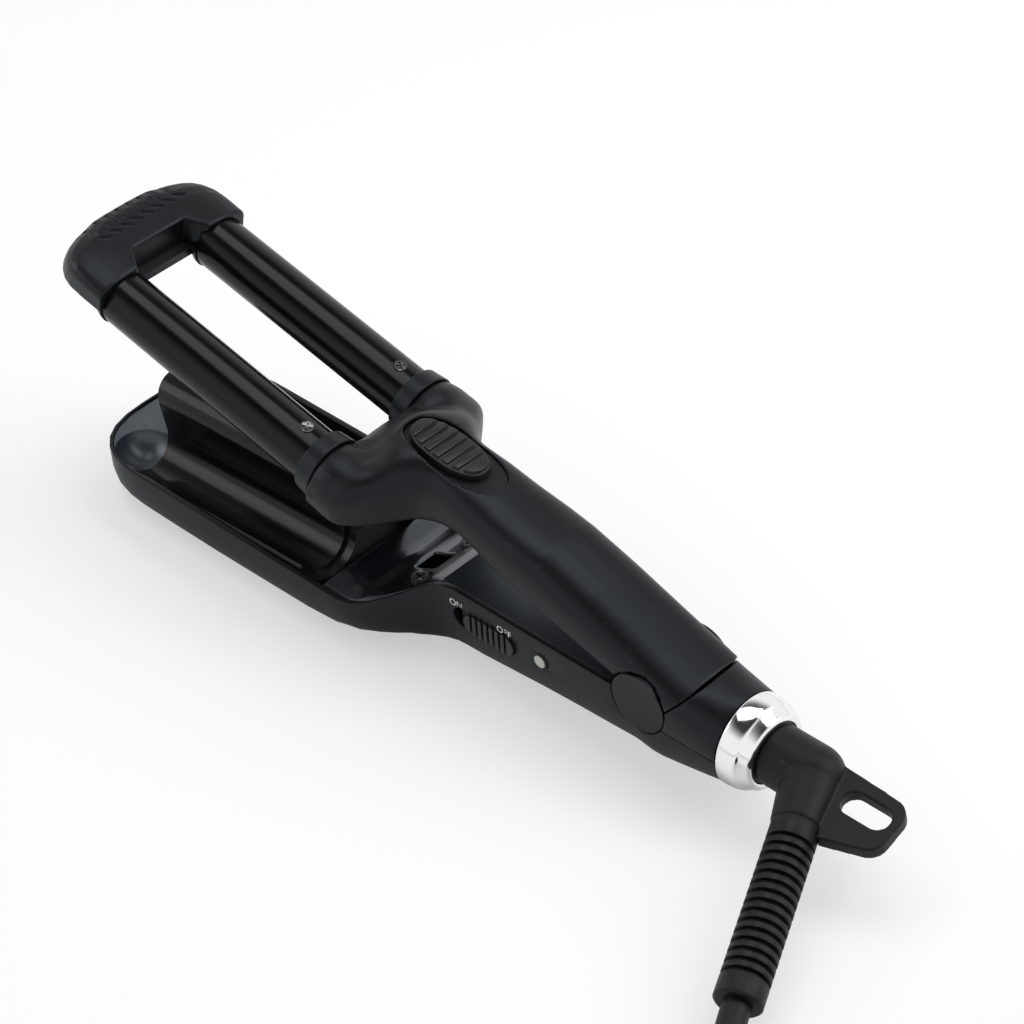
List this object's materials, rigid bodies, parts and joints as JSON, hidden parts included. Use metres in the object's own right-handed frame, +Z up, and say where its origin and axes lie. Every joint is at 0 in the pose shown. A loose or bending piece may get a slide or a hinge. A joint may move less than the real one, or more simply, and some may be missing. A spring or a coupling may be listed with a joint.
{
  "type": "hair waver",
  "caption": "Clamp-style hair waver: heated barrels on a sprung upper arm close over a ridged wave plate on the lower arm, with slide switch, slide lock, tip cap and swivel cord.",
  "frame": {"origin": "middle of the flat underside of the head, on the resting plane", "axes": "+X to the tip, +Y to the side with the power switch, +Z up"},
  "size_m": [0.4631, 0.1174, 0.0854],
  "materials": {
    "satin_black": "satin soft-touch coat",
    "gloss_black": "polished",
    "plate_black": "glossy non-stick coat",
    "tip_cover_satin": "satin",
    "button_black": "satin",
    "inner_plastic": "plain moulded",
    "black_screw": "black oxide",
    "zinc_screw": "zinc plated",
    "spring_steel": "bright",
    "aluminium": "extruded",
    "ceramic": "unglazed ceramic",
    "board_green": "solder mask",
    "lens_clear": "milky, clear",
    "ring_chrome": "mirror",
    "cord_rubber": "matt",
    "tie_rubber": "matt",
    "pin_nickel": "nickel plated"
  },
  "bodies": {
    "lower_arm": {"lower_casing": "satin_black", "tip_cover": "tip_cover_satin", "wave_plate": "plate_black", "plate_carrier": "inner_plastic", "plate_heaters": "ceramic", "heater_clamp": "spring_steel", "thermal_fuse": "spring_steel", "neck_cover": "gloss_black", "neck_screws": "black_screw", "inner_panel": "gloss_black", "casing_screws": "zinc_screw", "circuit_board": "board_green", "switch_body": "inner_plastic", "light_body": "lens_clear", "light_lens": "lens_clear", "rear_cover": "satin_black", "rear_ring": "ring_chrome", "swivel_bush": "inner_plastic", "lower_bracket": "spring_steel", "hinge_pin": "spring_steel", "hinge_spring": "spring_steel", "pivot_cap_near": "satin_black", "pivot_cap_far": "satin_black", "cord_lead": "cord_rubber", "cord_coil": "cord_rubber", "cord_tie": "tie_rubber", "cord_tail": "cord_rubber", "plug_body": "cord_rubber", "plug_pins": "pin_nickel"},
    "upper_arm": {"upper_casing": "satin_black", "yoke_cover": "satin_black", "upper_inner_cover": "satin_black", "upper_bracket": "spring_steel", "cover_screws": "zinc_screw", "collar_near": "satin_black", "collar_far": "satin_black", "barrel_near": "plate_black", "barrel_far": "plate_black", "barrel_core_near": "aluminium", "barrel_core_far": "aluminium", "barrel_heaters": "ceramic", "barrel_screws": "black_screw", "barrel_plugs": "inner_plastic", "tip_cap_outer": "satin_black", "tip_cap_inner": "satin_black", "tip_screws": "zinc_screw", "lock_guide": "inner_plastic"},
    "lock_slide": {"lock_button": "button_black", "lock_hook": "inner_plastic"},
    "power_switch": {"switch_button": "button_black"},
    "cord_swivel": {"swivel_elbow": "cord_rubber", "swivel_retainer": "spring_steel", "strain_relief": "cord_rubber"}
  },
  "joints": [
    {"name": "arm_hinge", "type": "hinge", "parent": "lower_arm", "child": "upper_arm", "pos_m": [-0.15, 0, 0.0276], "axis": [0, 1, 0], "range_deg": [0, 15], "stiffness_Nm_per_rad": 1.2, "springref_deg": -17.19, "deforming": ["hinge_spring"]},
    {"name": "lock_travel", "type": "slide", "parent": "upper_arm", "child": "lock_slide", "axis": [-0.9921, 0, -0.1253], "range_m": [0, 0.004]},
    {"name": "switch_travel", "type": "slide", "parent": "lower_arm", "child": "power_switch", "axis": [1, 0, 0], "range_m": [0, 0.004]},
    {"name": "swivel_turn", "type": "hinge", "parent": "lower_arm", "child": "cord_swivel", "pos_m": [-0.19, 0, 0.0224], "axis": [1, 0, 0], "continuous": true}
  ]
}
